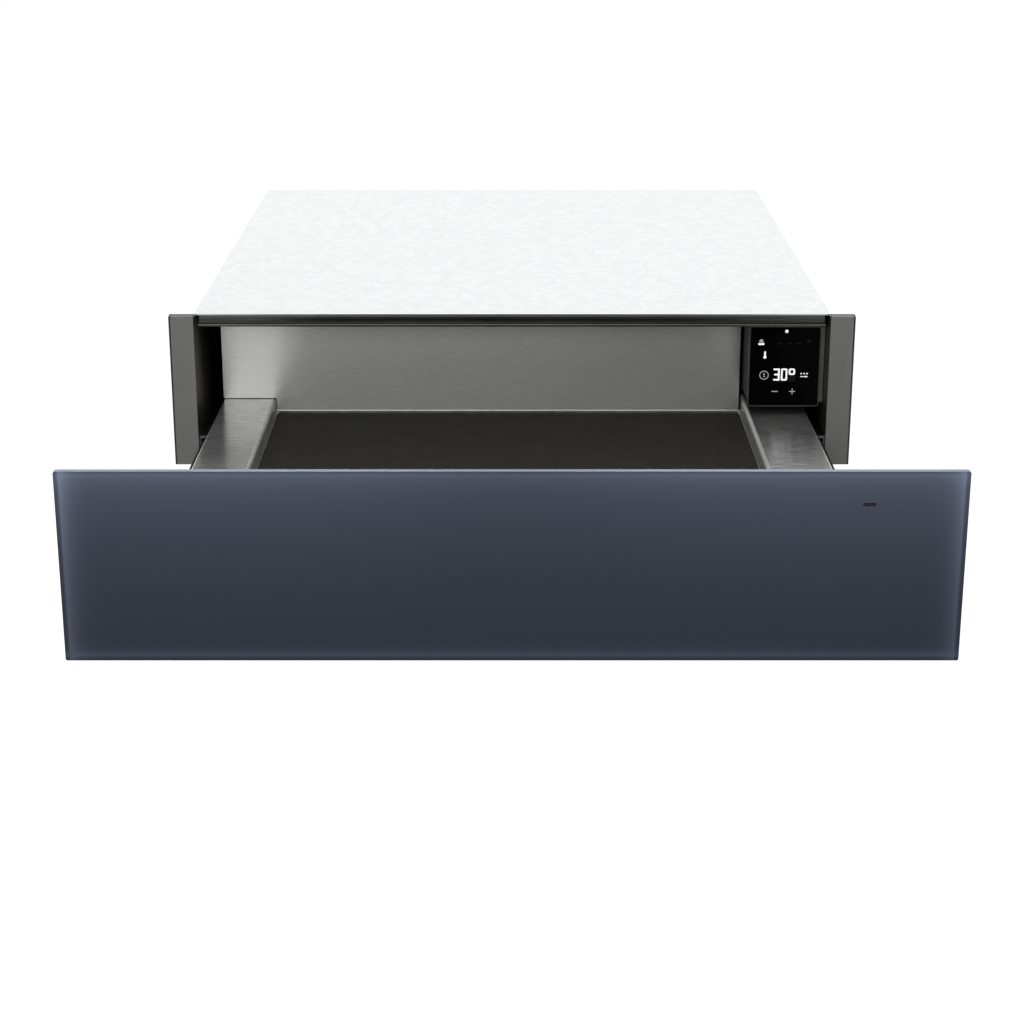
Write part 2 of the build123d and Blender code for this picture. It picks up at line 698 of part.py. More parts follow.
def board_bosses(radius, y0, y1):
    """Four posts behind the control board's corners."""
    spread_x = CONTROL_WIDTH - 2 * HOUSING_WALL - 2 * BOSS_INSET
    spread_z = CONTROL_HEIGHT - 2 * HOUSING_WALL - 2 * BOSS_INSET
    posts = pattern(GridLocations(spread_x, spread_z, 2, 2), Circle(radius))
    return along_y(Pos(control_middle_x, control_middle_z) * posts, y0, y1)


def control_housing():
    front = CONTROL_SETBACK + TOUCH_GLASS
    back = CONTROL_SETBACK + CONTROL_DEPTH
    shell = along_y(control_outline(0), front, back)
    shell -= along_y(control_outline(-HOUSING_WALL), front - OVERRUN, back - HOUSING_WALL)
    board_back = CONTROL_SETBACK + BOARD_SETBACK + BOARD_THICKNESS
    return shell + board_bosses(BOSS_RADIUS, board_back, back - HOUSING_WALL)


def control_board():
    front = CONTROL_SETBACK + BOARD_SETBACK
    margin = HOUSING_WALL + BOARD_MARGIN
    shape = Rectangle(CONTROL_WIDTH - 2 * margin, CONTROL_HEIGHT - 2 * margin)
    return along_y(Pos(control_middle_x, control_middle_z) * shape, front, front + BOARD_THICKNESS)


def display_module():
    shape = Pos(control_middle_x, control_middle_z) * Rectangle(DISPLAY_WIDTH, DISPLAY_HEIGHT)
    return along_y(shape, CONTROL_SETBACK + TOUCH_GLASS, CONTROL_SETBACK + BOARD_SETBACK)


def control_bracket():
    housing_side = control_right + SEAT
    wall_side = wall_inside - SEAT
    front = CONTROL_SETBACK - BEZEL_PROUD + BEZEL_DEPTH + SEAT
    back = CONTROL_SETBACK + CONTROL_DEPTH
    section = folded(
        [(housing_side, back), (housing_side, front), (wall_side, front), (wall_side, back)],
        CASING_SHEET, 1)
    top = control_bottom + CONTROL_HEIGHT - BRACKET_MARGIN
    return along_z(section, control_bottom + BRACKET_MARGIN, top)


def insulation_board():
    half = heater_places()[-1] + INSULATION_MARGIN
    back = partition_front - INSULATION_SETBACK
    return block(-half, half, INSULATION_START, back, CASING_SHEET, insulation_top)


def heating_element():
    """One tube that runs to and fro, with both cold ends through the rear partition."""
    tail = partition_front + HEATER_TAIL
    xs = heater_places()
    points = [(xs[0], tail, HEATER_HEIGHT)]
    for run, x in enumerate(xs):
        ends = (HEATER_BACK, HEATER_FRONT) if run % 2 == 0 else (HEATER_FRONT, HEATER_BACK)
        points += [(x, y, HEATER_HEIGHT) for y in ends]
    points = [points[0]] + points[2:-1] + [(xs[-1], tail, HEATER_HEIGHT)]
    route = FilletPolyline(*points, radius=HEATER_BEND_SHARE * HEATER_PITCH)
    section = Plane(route @ 0, z_dir=route % 0) * Circle(HEATER_TUBE_RADIUS)
    return sweep(section, path=route)


def heater_cradles():
    half = heater_places()[-1] + CRADLE_MARGIN
    bars = []
    for share in CRADLE_SHARES:
        middle = HEATER_FRONT + share * (HEATER_BACK - HEATER_FRONT)
        y0 = middle - CRADLE_WIDTH / 2
        y1 = middle + CRADLE_WIDTH / 2
        bar = block(-half, half, y0, y1, insulation_top, HEATER_HEIGHT)
        for x in heater_places():
            bar -= rod(x, HEATER_HEIGHT, HEATER_TUBE_RADIUS + SEAT, y0 - OVERRUN, y1 + OVERRUN)
        bars.append(bar)
    return Compound(children=bars)


def thermal_cutout():
    y = HEATER_FRONT + CUTOUT_PLACE_SHARE * (HEATER_BACK - HEATER_FRONT)
    plate = RectangleRounded(CUTOUT_PLATE_LENGTH, CUTOUT_PLATE_WIDTH, CUTOUT_PLATE_WIDTH / 4)
    plate = Pos(0, y) * plate
    body_base = insulation_top + CUTOUT_PLATE
    cutout = along_z(plate, insulation_top, body_base)
    return cutout + along_z(Pos(0, y) * Circle(CUTOUT_RADIUS), body_base, body_base + CUTOUT_BODY)


def temperature_probe():
    flange_front = partition_front - PROBE_FLANGE
    probe = rod(PROBE_X, PROBE_HEIGHT, PROBE_FLANGE_RADIUS, flange_front, partition_front)
    return probe + rod(PROBE_X, PROBE_HEIGHT, PROBE_RADIUS, flange_front - PROBE_LENGTH, flange_front)


def power_board_middle():
    return (partition_front + PARTITION_FLANGE + rear_inside) / 2


def power_board():
    """The circuit board with its transformer, two relays and two capacitors."""
    y = power_board_middle()
    base = CASING_SHEET + BOARD_LIFT
    top = base + BOARD_THICKNESS
    board = along_z(Pos(POWER_BOARD_X, y) * Rectangle(BOARD_LENGTH, BOARD_WIDTH), base, top)
    place = POWER_BOARD_X - BOARD_LENGTH / 2 + 2 * STANDOFF_INSET
    shapes = [(TRANSFORMER, Rectangle(TRANSFORMER, TRANSFORMER), TRANSFORMER_HEIGHT)]
    shapes += [(RELAY_WIDTH, Rectangle(RELAY_WIDTH, RELAY_LENGTH), RELAY_HEIGHT)] * 2
    shapes += [(2 * CAPACITOR_RADIUS, Circle(CAPACITOR_RADIUS), CAPACITOR_HEIGHT)] * 2
    for width, shape, height in shapes:
        board += along_z(Pos(place + width / 2, y) * shape, top, top + height)
        place += width + COMPONENT_GAP
    return board


def board_standoffs():
    spread_x = BOARD_LENGTH - 2 * STANDOFF_INSET
    spread_y = BOARD_WIDTH - 2 * STANDOFF_INSET
    group = []
    for place in GridLocations(spread_x, spread_y, 2, 2):
        post = Pos(POWER_BOARD_X, power_board_middle()) * place * Circle(STANDOFF_RADIUS)
        group.append(along_z(post, CASING_SHEET, CASING_SHEET + BOARD_LIFT))
    return Compound(children=group)


def terminal_block():
    """A mains terminal with a screw hole and a wire way for each pole."""
    y = power_board_middle()
    top = CASING_SHEET + TERMINAL_HEIGHT
    body = along_z(Pos(TERMINAL_X, y) * Rectangle(TERMINAL_LENGTH, TERMINAL_WIDTH), CASING_SHEET, top)
    pitch = TERMINAL_LENGTH / TERMINAL_WAYS
    ways = GridLocations(pitch, TERMINAL_WIDTH / 2, TERMINAL_WAYS, 2)
    holes = Pos(TERMINAL_X, y) * pattern(ways, Circle(TERMINAL_HOLE))
    body -= along_z(holes, CASING_SHEET + TERMINAL_HEIGHT / 2, top + OVERRUN)
    return body


def cord_gland():
    """A bush through the rear panel, with a flange outside and a nut inside."""
    panel_back = rear_inside + CASING_SHEET
    flange_back = panel_back + GLAND_FLANGE
    bush = rod(gland_x, GLAND_HEIGHT, GLAND_RADIUS, rear_inside - GLAND_TAIL, flange_back)
    bush += rod(gland_x, GLAND_HEIGHT, GLAND_FLANGE_RADIUS, panel_back, flange_back)
    nut = Pos(gland_x, GLAND_HEIGHT) * RegularPolygon(GLAND_FLANGE_RADIUS, 6)
    bush += along_y(nut, rear_inside - GLAND_FLANGE, rear_inside)
    return bush - rod(gland_x, GLAND_HEIGHT, GLAND_BORE,
                      rear_inside - GLAND_TAIL - OVERRUN, flange_back + OVERRUN)


def left_latch_body():
    shape = RectangleRounded(LATCH_BODY_WIDTH, LATCH_BODY_HEIGHT, LATCH_BODY_CORNER)
    body = along_y(Pos(-LATCH_X, LATCH_HEIGHT) * shape, latch_front, partition_front)
    return body - rod(-LATCH_X, LATCH_HEIGHT, PLUNGER_RADIUS + PLUNGER_GAP, latch_front - OVERRUN,
                      partition_front - LATCH_END_WALL)


def left_latch_plunger():
    end = partition_front - LATCH_END_WALL - PLUNGER_TRAVEL - PLUNGER_STOP_GAP
    plunger = rod(-LATCH_X, LATCH_HEIGHT, PLUNGER_RADIUS, plunger_tip, end)
    return fillet(plunger.edges().sort_by(Axis.Y)[0], PLUNGER_RADIUS / 4)


def latch_strikers():
    pads = []
    for x in (-LATCH_X, LATCH_X):
        pads.append(rod(x, LATCH_HEIGHT, STRIKER_RADIUS, wall_front + DRAWER_SHEET, striker_back))
    return Compound(children=pads)


def fold_screw_holes(panel):
    """A casing sheet with its rear fold drilled for the casing screws."""
    return screw_holes(panel, casing_screw_places(), rear_inside, CASING_DEPTH)


casing = {
    "base_pan": fold_screw_holes(base_pan()),
    "left_side_panel": left_side_panel(),
    "right_side_panel": mirrored(left_side_panel()),
    "top_panel": fold_screw_holes(top_panel()),
    "rear_panel": rear_panel(),
    "rear_partition": rear_partition(),
    "front_beam": front_beam(),
    "left_upright": left_upright(),
    "right_upright": mirrored(left_upright()),
    "left_slide_outer": left_slide_outer(),
    "right_slide_outer": mirrored(left_slide_outer()),
    "insulation_board": insulation_board(),
    "heating_element": heating_element(),
    "heater_cradles": heater_cradles(),
    "thermal_cutout": thermal_cutout(),
    "temperature_probe": temperature_probe(),
    "power_board": power_board(),
    "board_standoffs": board_standoffs(),
    "terminal_block": terminal_block(),
    "cord_gland": cord_gland(),
    "control_housing": control_housing(),
    "control_bezel": control_bezel(),
    "touch_glass": touch_glass(),
    "control_board": control_board(),
    "display_module": display_module(),
    "control_bracket": control_bracket(),
    "left_latch_body": left_latch_body(),
    "right_latch_body": mirrored(left_latch_body()),
    "left_latch_plunger": left_latch_plunger(),
    "right_latch_plunger": mirrored(left_latch_plunger()),
    "casing_screws": casing_screws(),
    "left_outer_ball_cage": left_outer_ball_cage(),
    "right_outer_ball_cage": mirrored(left_outer_ball_cage()),
    "left_inner_ball_cage": left_inner_ball_cage(),
    "right_inner_ball_cage": mirrored(left_inner_ball_cage()),
}

half_open = {
    "left_slide_middle": left_slide_middle(),
    "right_slide_middle": mirrored(left_slide_middle()),
}

drawer = {
    "left_side_profile": side_profile(LEFT_LEDGE),
    "right_side_profile": mirrored(side_profile(RIGHT_LEDGE)),
    "drawer_base": drawer_base(),
    "back_wall": back_wall(),
    "anti_slip_mat": anti_slip_mat(),
    "front_glass": front_glass(),
    "bonding_frame": bonding_frame(),
    "front_carrier": front_carrier(),
    "front_liner": front_liner(),
    "light_guide": light_guide(),
    "left_front_bracket": left_front_bracket(),
    "right_front_bracket": mirrored(left_front_bracket()),
    "front_screws": front_screws(),
    "left_slide_runner": left_slide_runner(),
    "right_slide_runner": mirrored(left_slide_runner()),
    "latch_strikers": latch_strikers(),
}

os.makedirs("parts", exist_ok=True)
origin_shift = -CASING_DEPTH / 2
half_opening = MIDDLE_TRAVEL_SHARE * DRAWER_OPENING
for pieces, opening in ((casing, 0), (half_open, half_opening), (drawer, DRAWER_OPENING)):
    for name, shape in pieces.items():
        export_step(Pos(0, origin_shift - opening, 0) * shape, f"parts/{name}.step")
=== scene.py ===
import math

import bmesh
import bpy
from mathutils import Matrix, Vector


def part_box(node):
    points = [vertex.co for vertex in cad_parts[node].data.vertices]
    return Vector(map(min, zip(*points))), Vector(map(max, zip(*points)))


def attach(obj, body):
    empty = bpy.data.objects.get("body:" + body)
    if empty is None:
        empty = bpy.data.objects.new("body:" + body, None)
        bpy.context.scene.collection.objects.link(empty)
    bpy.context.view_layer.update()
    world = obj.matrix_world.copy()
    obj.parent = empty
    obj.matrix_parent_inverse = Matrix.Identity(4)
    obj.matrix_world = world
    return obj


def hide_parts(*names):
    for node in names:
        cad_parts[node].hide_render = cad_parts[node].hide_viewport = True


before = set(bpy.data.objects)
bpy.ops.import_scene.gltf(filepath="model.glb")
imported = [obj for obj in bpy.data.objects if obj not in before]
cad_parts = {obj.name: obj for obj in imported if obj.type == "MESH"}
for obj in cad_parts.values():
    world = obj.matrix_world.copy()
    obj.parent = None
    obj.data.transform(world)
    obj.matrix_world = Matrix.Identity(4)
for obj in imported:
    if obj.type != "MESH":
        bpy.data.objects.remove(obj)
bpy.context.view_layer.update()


# Casing
# Base, sides, top, rear and partition are bent from zinc-coated steel sheet and screwed at the rear folds.
# The coating shows a faint crystal pattern. It is paler on the top panel. The inner faces carry painted
# shade: they are dark and less metallic.
def tone(red, green, blue):
    """A colour as a screen shows it, from 0 to 255, turned into the light values that shaders use."""
    shares = [value / 255 for value in (red, green, blue)]
    light = [share / 12.92 if share <= 0.04045 else ((share + 0.055) / 1.055) ** 2.4 for share in shares]
    return (*light, 1)


def shader_of(material):
    """The shader that gives a finish its surface."""
    return material.node_tree.nodes["Principled BSDF"]


def new_finish(name, colour, metallic, roughness):
    """A material and its shader, with the values that are the same all over set on the shader."""
    material = bpy.data.materials.new(name)
    material.use_nodes = True
    shader = shader_of(material)
    shader.inputs["Base Color"].default_value = colour
    shader.inputs["Metallic"].default_value = metallic
    shader.inputs["Roughness"].default_value = roughness
    return material, shader


def add_node(shader, kind, links=None, **values):
    """A node beside the shader. Links feed its sockets, values set its sockets or its settings."""
    tree = shader.id_data
    node = tree.nodes.new(kind)
    for name, value in values.items():
        socket = node.inputs.get(name.replace("_", " ").title())
        if socket is None:
            setattr(node, name, value)
        else:
            socket.default_value = value
    for name, source in (links or {}).items():
        tree.links.new(source, node.inputs[name])
    return node


def place_on(shader, stretch=(1, 1, 1)):
    """The piece's own coordinates, stretched for a pattern."""
    coordinates = add_node(shader, "ShaderNodeTexCoord")
    return add_node(shader, "ShaderNodeMapping", {"Vector": coordinates.outputs["Object"]},
                    scale=stretch).outputs["Vector"]


def cloudy(shader, scale, stretch=(1, 1, 1), detail=3.0, roughness=0.5):
    """A noise pattern on the piece, with its scale in clouds per metre."""
    noise = add_node(shader, "ShaderNodeTexNoise", {"Vector": place_on(shader, stretch)},
                     scale=scale, detail=detail, roughness=roughness)
    return noise.outputs["Fac"]


def between(shader, pattern, low, high, start=0.25, end=0.75):
    """The pattern turned into a number between two ends."""
    ranged = add_node(shader, "ShaderNodeMapRange", {"Value": pattern},
                      from_min=start, from_max=end, to_min=low, to_max=high)
    return ranged.outputs["Result"]


def two_tone(shader, pattern, first, second, start=0.3, end=0.7):
    """A colour that goes from one tone to another with the pattern, linked to the base colour."""
    ramp = add_node(shader, "ShaderNodeValToRGB", {"Fac": pattern})
    ramp.color_ramp.elements[0].position = start
    ramp.color_ramp.elements[0].color = first
    ramp.color_ramp.elements[1].position = end
    ramp.color_ramp.elements[1].color = second
    shader.id_data.links.new(ramp.outputs["Color"], shader.inputs["Base Color"])


def rough_by(shader, pattern, smooth, rough):
    """A roughness that changes with the pattern."""
    shader.id_data.links.new(between(shader, pattern, smooth, rough), shader.inputs["Roughness"])


def bumped(shader, pattern, depth, strength):
    """A relief of the given depth in metres on the surface."""
    bump = add_node(shader, "ShaderNodeBump", {"Height": pattern}, distance=depth, strength=strength)
    shader.id_data.links.new(bump.outputs["Normal"], shader.inputs["Normal"])


def fine_grain(shader, scale, depth, strength):
    """An even fine relief, as a coat of paint, a moulded skin or satin glass has."""
    bumped(shader, cloudy(shader, scale), depth, strength)


def inward_faces(shader, middle):
    """1 on faces that look towards a middle point, and 0 on the others."""
    coordinates = add_node(shader, "ShaderNodeTexCoord")
    outward = add_node(shader, "ShaderNodeVectorMath", {0: coordinates.outputs["Object"]},
                       operation="SUBTRACT")
    outward.inputs[1].default_value = middle
    facing = add_node(shader, "ShaderNodeVectorMath",
                      {0: outward.outputs["Vector"], 1: coordinates.outputs["Normal"]},
                      operation="DOT_PRODUCT")
    inward = add_node(shader, "ShaderNodeMath", {0: facing.outputs["Value"]}, operation="LESS_THAN")
    inward.inputs[1].default_value = 0
    return inward.outputs["Value"]


def upright_faces(shader, lean=0.7):
    """1 on faces that stand upright or lean a little, and 0 on those that lie flat."""
    coordinates = add_node(shader, "ShaderNodeTexCoord")
    facing = add_node(shader, "ShaderNodeSeparateXYZ", {"Vector": coordinates.outputs["Normal"]})
    standing = add_node(shader, "ShaderNodeMath", {0: facing.outputs["Z"]}, operation="COMPARE")
    standing.inputs[1].default_value = 0
    standing.inputs[2].default_value = lean
    return standing.outputs["Value"]


def recolour(shader, mask, colour):
    """Gives the faces that a mask picks a colour of their own."""
    plain_colour = shader.inputs["Base Color"].links[0].from_socket
    blend = add_node(shader, "ShaderNodeMixRGB", {"Fac": mask, "Color1": plain_colour}, color2=colour)
    shader.id_data.links.new(blend.outputs["Color"], shader.inputs["Base Color"])


def dull(shader, mask, metallic):
    """Makes the faces that a mask picks less metallic."""
    metal = add_node(shader, "ShaderNodeMapRange", {"Value": mask}, to_min=1.0, to_max=metallic)
    shader.id_data.links.new(metal.outputs["Result"], shader.inputs["Metallic"])


def dress(material, *names):
    """Gives CAD nodes a finish."""
    for name in names:
        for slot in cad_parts[name].material_slots:
            slot.material = material


casing_middle = (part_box("base_pan")[0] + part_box("top_panel")[1]) / 2
painted_inner_shade = tone(58, 56, 52)
zinc_light = tone(171, 172, 174)


def zinc_finish(name, first, second):
    """Zinc-coated sheet, whose crystals differ a little in tone and gloss, with painted shade inside: the
    faces that look into the casing are dark and less metallic.
    """
    material, shader = new_finish(name, first, metallic=1.0, roughness=0.3)
    crystals = add_node(shader, "ShaderNodeTexVoronoi", {"Vector": place_on(shader)},
                        scale=160.0, randomness=1.0)
    two_tone(shader, crystals.outputs["Color"], first, second)
    # Painted shade: faces that look into the casing are dark and less metallic.
    inside = inward_faces(shader, casing_middle)
    recolour(shader, inside, painted_inner_shade)
    dull(shader, inside, metallic=0.3)
    rough_by(shader, crystals.outputs["Color"], smooth=0.29, rough=0.32)
    fine_grain(shader, scale=900.0, depth=0.00002, strength=0.1)
    return material


zinc_sheet = zinc_finish("zinc_sheet", tone(158, 160, 162), zinc_light)
dress(zinc_sheet, "base_pan", "left_side_panel", "right_side_panel", "rear_panel", "rear_partition")
pale_zinc = zinc_finish("pale_zinc", tone(240, 241, 242), tone(247, 248, 248))
pale_shader = shader_of(pale_zinc)
recolour(pale_shader, upright_faces(pale_shader), zinc_light)
dress(pale_zinc, "top_panel")


# Uprights and control bracket
# The flanges that show beside the front are steel sheet with a satin dark grey paint.
# A thin line of painted shade runs along the sheet's outer edge.
def mottled_finish(name, first, second, metallic, smooth, rough, scale, stretch=(1, 1, 1)):
    """A finish that clouds a little from one tone to another, and its gloss with it."""
    material, shader = new_finish(name, first, metallic, rough)
    cloud = cloudy(shader, scale, stretch)
    two_tone(shader, cloud, first, second)
    rough_by(shader, cloud, smooth, rough)
    return material


upright_paint = mottled_finish("upright_paint", tone(115, 115, 114), tone(122, 122, 121), metallic=0.1,
                               smooth=0.38, rough=0.48, scale=60.0, stretch=(1, 1, 0.25))
upright_shader = shader_of(upright_paint)
upright_shader.inputs["Specular IOR Level"].default_value = 0.25
fine_grain(upright_shader, scale=1500.0, depth=0.00004, strength=0.25)
# Painted shade: a dark line along the outer edge of each upright.
edge_shade_width = 0.0014
edge_shade_fade = 0.0007
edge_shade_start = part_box("right_upright")[1].x - edge_shade_width
upright_coordinates = add_node(upright_shader, "ShaderNodeTexCoord")
upright_place = add_node(upright_shader, "ShaderNodeSeparateXYZ",
                         {"Vector": upright_coordinates.outputs["Object"]})
sideways = add_node(upright_shader, "ShaderNodeMath", {0: upright_place.outputs["X"]}, operation="ABSOLUTE")
painted_edge_shade = add_node(upright_shader, "ShaderNodeMapRange", {"Value": sideways.outputs["Value"]},
                      from_min=edge_shade_start - edge_shade_fade, from_max=edge_shade_start)
recolour(upright_shader, painted_edge_shade.outputs["Result"], tone(20, 20, 20))
dress(upright_paint, "left_upright", "right_upright", "control_bracket")


# Front beam
# One profile over the opening, rolled from steel strip with a groove along it.
# Its satin paint is darker than that of the uprights, with long faint clouds from the rolling.
beam_paint = mottled_finish("beam_paint", tone(64, 64, 62), tone(72, 72, 70), metallic=0.85,
                            smooth=0.26, rough=0.34, scale=80.0, stretch=(0.2, 1, 1))
fine_grain(shader_of(beam_paint), scale=1500.0, depth=0.00004, strength=0.2)
dress(beam_paint, "front_beam")


# Telescopic slides
# An outer rail, a middle rail and a runner on each side, drawn from plated steel strip.
# The drawing leaves fine lines along them. Hard steel balls run between them in pressed cages.
rail_steel, rail_shader = new_finish("rail_steel", tone(88, 89, 90), metallic=1.0, roughness=0.34)
rail_lines = cloudy(rail_shader, scale=2.0, stretch=(600, 4, 600), detail=2.0)
two_tone(rail_shader, rail_lines, tone(81, 82, 84), tone(95, 96, 97))
rough_by(rail_shader, rail_lines, smooth=0.28, rough=0.42)
bumped(rail_shader, rail_lines, depth=0.00003, strength=0.15)
dress(rail_steel, "left_slide_outer", "right_slide_outer", "left_slide_middle", "right_slide_middle",
      "left_slide_runner", "right_slide_runner")

ball_steel = mottled_finish("ball_steel", tone(190, 192, 196), tone(206, 207, 209), metallic=1.0,
                            smooth=0.12, rough=0.22, scale=700.0)
dress(ball_steel, "left_outer_ball_cage", "right_outer_ball_cage", "left_inner_ball_cage",
      "right_inner_ball_cage")


# Heater under the drawer
# A sheathed element in steel cradles on a board of pressed mineral fibre.
# Heat has tinted the sheath, and that of the temperature probe beside it.
fibre_board, fibre_shader = new_finish("fibre_board", tone(214, 208, 194), metallic=0.0, roughness=0.9)
fibre_strands = cloudy(fibre_shader, scale=260.0, stretch=(1, 4, 1), detail=5.0, roughness=0.65)
two_tone(fibre_shader, fibre_strands, tone(196, 189, 173), tone(226, 221, 209))
bumped(fibre_shader, fibre_strands, depth=0.0004, strength=0.5)
dress(fibre_board, "insulation_board")

heater_sheath = mottled_finish("heater_sheath", tone(80, 76, 74), tone(112, 100, 88), metallic=0.9,
                               smooth=0.38, rough=0.55, scale=40.0, stretch=(1, 0.4, 1))
fine_grain(shader_of(heater_sheath), scale=1200.0, depth=0.00005, strength=0.2)
dress(heater_sheath, "heating_element", "temperature_probe")

cradle_steel = mottled_finish("cradle_steel", tone(156, 158, 161), tone(182, 183, 184), metallic=1.0,
                              smooth=0.34, rough=0.48, scale=90.0, stretch=(0.3, 1, 1))
dress(cradle_steel, "heater_cradles")


# Rear compartment
# A laminate board with its components on stand-offs, a terminal block and a gland in the rear panel.
# Stand-offs, blocks, latches and housings are moulded in white or black plastic.
board_laminate = mottled_finish("board_laminate", tone(38, 82, 50), tone(54, 104, 66), metallic=0.0,
                                smooth=0.35, rough=0.5, scale=220.0)
dress(board_laminate, "power_board", "control_board")

white_plastic = mottled_finish("white_plastic", tone(216, 215, 208), tone(228, 227, 222), metallic=0.0,
                               smooth=0.42, rough=0.58, scale=300.0)
fine_grain(shader_of(white_plastic), scale=1800.0, depth=0.00003, strength=0.2)
dress(white_plastic, "terminal_block", "board_standoffs", "thermal_cutout", "left_latch_body",
      "right_latch_body")

black_plastic = mottled_finish("black_plastic", tone(22, 22, 23), tone(31, 31, 32), metallic=0.0,
                               smooth=0.42, rough=0.58, scale=250.0)
fine_grain(shader_of(black_plastic), scale=1600.0, depth=0.00006, strength=0.3)
dress(black_plastic, "cord_gland", "control_housing", "display_module", "left_latch_plunger",
      "right_latch_plunger", "latch_strikers")


# Control unit
# A black glass touch panel, glued into a thin frame of grey plastic in front of a plastic housing.
# The glass hardly mirrors, and a faint film on it changes its gloss from place to place.
bezel_plastic = mottled_finish("bezel_plastic", tone(33, 33, 32), tone(40, 40, 39), metallic=0.0,
                               smooth=0.32, rough=0.45, scale=300.0)
dress(bezel_plastic, "control_bezel")

touch_black, touch_shader = new_finish("touch_black", tone(1, 1, 2), metallic=0.0, roughness=0.08)
touch_shader.inputs["Specular IOR Level"].default_value = 0.02
touch_film = cloudy(touch_shader, scale=90.0, detail=4.0)
rough_by(touch_shader, touch_film, smooth=0.05, rough=0.13)
dress(touch_black, "touch_glass")


# Lit marks behind the touch glass
# Warm-up lamp, two programme signs, the set temperature, a timer sign and the touch keys.
# Each is a thin printed window in the glass, lit from the display module behind it.
glass_low, glass_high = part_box("touch_glass")
mark_height = 0.0365
mark_origin = Vector(((glass_low.x + glass_high.x) / 2, glass_low.y, glass_low.z + mark_height))
mark_depth = 0.0001
millimetre = 0.001
corner_steps = 4
disc_sides = 32


def on_glass(x, z):
    """A place on the glass's face, in millimetres from the middle of the marks."""
    return mark_origin + Vector((x, 0, z)) * millimetre


def outline_mark(form, points, corner):
    """A flat mark with rounded corners."""
    before = set(form.faces)
    corners = [form.verts.new(on_glass(x, z)) for x, z in points]
    form.faces.new(corners)
    bmesh.ops.bevel(form, geom=corners, offset=corner * millimetre, segments=corner_steps, profile=0.5,
                    affect="VERTICES", material=-1)
    return next(face for face in form.faces if face not in before)


def bar_mark(form, x, z, width, height, corner):
    """A flat bar about its middle."""
    half_x = width / 2
    half_z = height / 2
    points = [(x - half_x, z - half_z), (x + half_x, z - half_z), (x + half_x, z + half_z),
              (x - half_x, z + half_z)]
    return outline_mark(form, points, corner)


def disc_mark(form, x, z, radius):
    """A flat disc."""
    before = set(form.faces)
    place = Matrix.Translation(on_glass(x, z)) @ Matrix.Rotation(math.pi / 2, 4, "X")
    bmesh.ops.create_circle(form, cap_ends=True, segments=disc_sides, radius=radius * millimetre,
                            matrix=place)
    return next(face for face in form.faces if face not in before)


def hollow_mark(form, face, stroke):
    """Leaves only a line of the given width along the edge of a mark."""
    bmesh.ops.inset_region(form, faces=[face], thickness=stroke * millimetre, use_even_offset=True,
                           use_boundary=True)
    bmesh.ops.delete(form, geom=[face], context="FACES_ONLY")


def make_object(name, form, material):
    """An object at the origin, made from a finished form."""
    mesh = bpy.data.meshes.new(name)
    form.to_mesh(mesh)
    form.free()
    mesh.materials.append(material)
    made = bpy.data.objects.new(name, mesh)
    bpy.context.collection.objects.link(made)
    return made


def finish_marks(form, name, material):
    """Gives the marks their thickness and sets them on the glass."""
    grown = bmesh.ops.extrude_face_region(form, geom=form.faces[:])
    moved = [item for item in grown["geom"] if isinstance(item, bmesh.types.BMVert)]
    bmesh.ops.translate(form, verts=moved, vec=(0, -mark_depth, 0))
    bmesh.ops.recalc_face_normals(form, faces=form.faces[:])
    piece = make_object(name, form, material)
    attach(piece, "casing")


def lit_finish(name, strength):
    """A print lit in white: the light is a little uneven, as it is in front of single diodes."""
    material, shader = new_finish(name, tone(2, 2, 2), metallic=0.0, roughness=0.3)
    shader.inputs["Specular IOR Level"].default_value = 0.02
    spots = between(shader, cloudy(shader, scale=600.0), low=0.9 * strength, high=1.05 * strength)
    shader.inputs["Emission Color"].default_value = (1, 1, 1, 1)
    shader.id_data.links.new(spots, shader.inputs["Emission Strength"])
    return material


lit_white = lit_finish("lit_white", strength=1.0)
digit_base = -14.2
digit_height = 10.9
digit_top = digit_base + digit_height
digit_middle = digit_base + digit_height / 2
digit_stroke = 1.5
half_stroke = digit_stroke / 2
three_left, three_right = -9.1, -3.7
three_indent = 0.7
three_bar = three_left + three_indent
three_inner = three_right - digit_stroke
three_outline = [
    (three_left, digit_base), (three_right, digit_base), (three_right, digit_top), (three_left, digit_top),
    (three_left, digit_top - digit_stroke), (three_inner, digit_top - digit_stroke),
    (three_inner, digit_middle + half_stroke), (three_bar, digit_middle + half_stroke),
    (three_bar, digit_middle - half_stroke), (three_inner, digit_middle - half_stroke),
    (three_inner, digit_base + digit_stroke), (three_left, digit_base + digit_stroke)]
digits = bmesh.new()
outline_mark(digits, three_outline, corner=0.4)
zero = bar_mark(digits, x=0.1, z=digit_middle, width=5.5, height=digit_height, corner=1.2)
hollow_mark(digits, zero, digit_stroke)
degree_height = 5.8
degree = bar_mark(digits, x=6.7, z=digit_top - degree_height / 2, width=5.5, height=degree_height,
                  corner=1.5)
hollow_mark(digits, degree, digit_stroke)
finish_marks(digits, "display_digits", lit_white)

thermometer_x = -16.9
timer_dots = (14.8, 17.3, 19.8)
timer_arrow = [(14.0, -10.9), (18.6, -10.9), (18.6, -11.5), (20.6, -10.6), (18.6, -9.7), (18.6, -10.3),
               (14.0, -10.3)]
signs = bmesh.new()
disc_mark(signs, x=1.0, z=29.9, radius=1.4)
bar_mark(signs, x=-20.4, z=18.6, width=5.3, height=1.7, corner=0.8)
bar_mark(signs, thermometer_x, z=9.3, width=1.5, height=5.6, corner=0.7)
disc_mark(signs, thermometer_x, z=6.9, radius=1.35)
for dot_x in timer_dots:
    disc_mark(signs, dot_x, z=-7.9, radius=0.65)
outline_mark(signs, timer_arrow, corner=0.1)
finish_marks(signs, "display_signs", lit_white)

